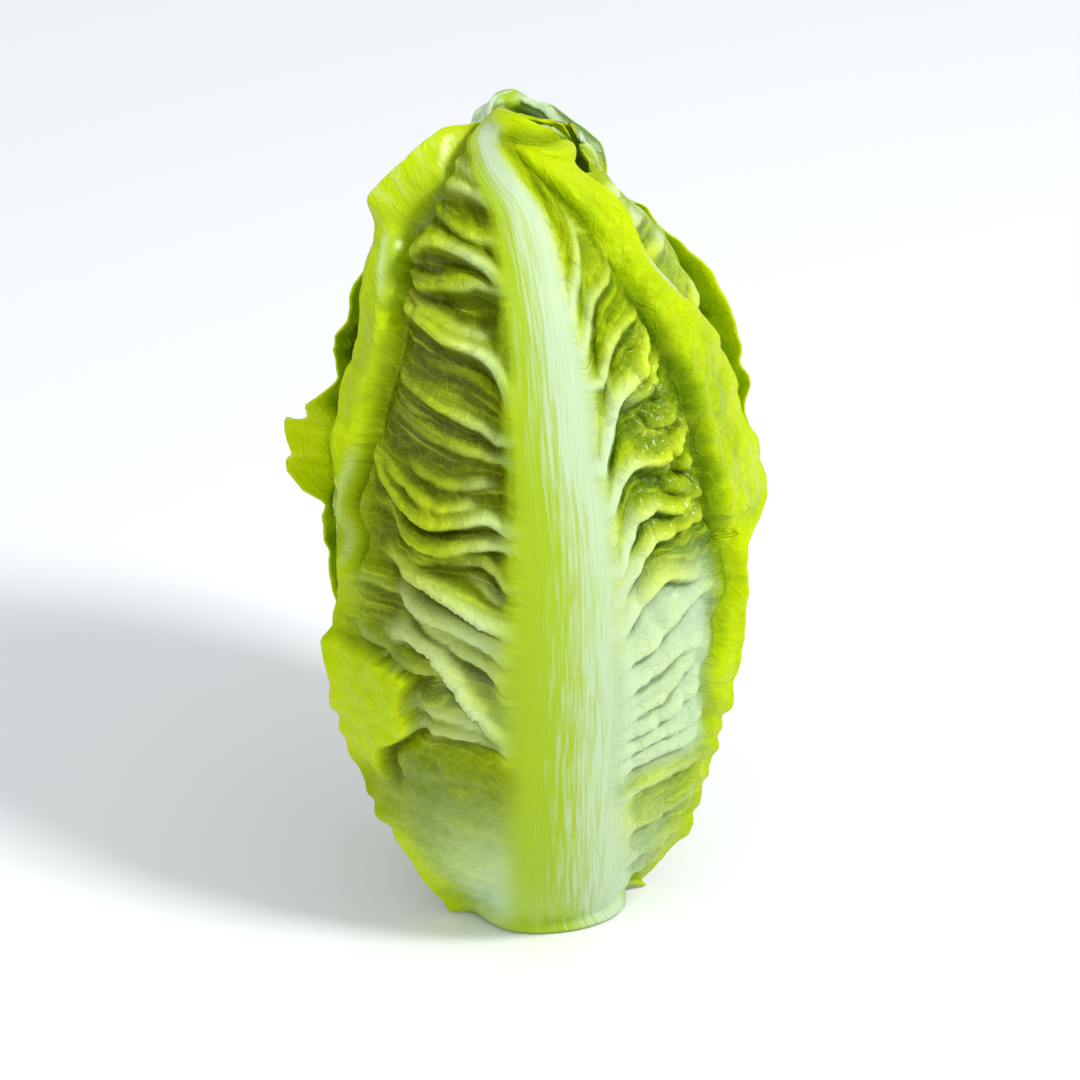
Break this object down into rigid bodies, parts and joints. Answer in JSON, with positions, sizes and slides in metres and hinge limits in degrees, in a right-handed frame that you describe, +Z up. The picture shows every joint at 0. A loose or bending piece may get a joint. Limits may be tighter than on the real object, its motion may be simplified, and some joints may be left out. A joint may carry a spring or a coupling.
{
  "type": "little gem lettuce",
  "caption": "Small upright cos lettuce head: crinkled leaves with pale midribs wrapped round a short stem that is cut flat to stand on.",
  "frame": {"origin": "centre of the flat cut under the stem, on the surface that the head stands on", "axes": "+Z up along the head from the cut stem to the leaf tips; -Y is the front, where the outermost leaf lies"},
  "size_m": [0.0758, 0.0817, 0.1493],
  "materials": {
    "outer_leaf": "satin",
    "middle_leaf": "satin",
    "heart_leaf": "satin",
    "stem": "matte"
  },
  "bodies": {
    "root": {"cut_stem": "stem", "outer_leaf_1": "outer_leaf", "outer_leaf_2": "outer_leaf", "outer_leaf_3": "outer_leaf", "outer_leaf_4": "outer_leaf", "outer_leaf_5": "outer_leaf", "outer_leaf_6": "outer_leaf", "outer_leaf_7": "outer_leaf", "middle_leaf_1": "middle_leaf", "middle_leaf_2": "middle_leaf", "middle_leaf_3": "middle_leaf", "middle_leaf_4": "middle_leaf", "middle_leaf_5": "middle_leaf", "middle_leaf_6": "middle_leaf", "middle_leaf_7": "middle_leaf", "heart_leaf_1": "heart_leaf", "heart_leaf_2": "heart_leaf", "heart_leaf_3": "heart_leaf", "heart_leaf_4": "heart_leaf", "heart_leaf_5": "heart_leaf", "heart_bud": "heart_leaf"}
  },
  "joints": []
}
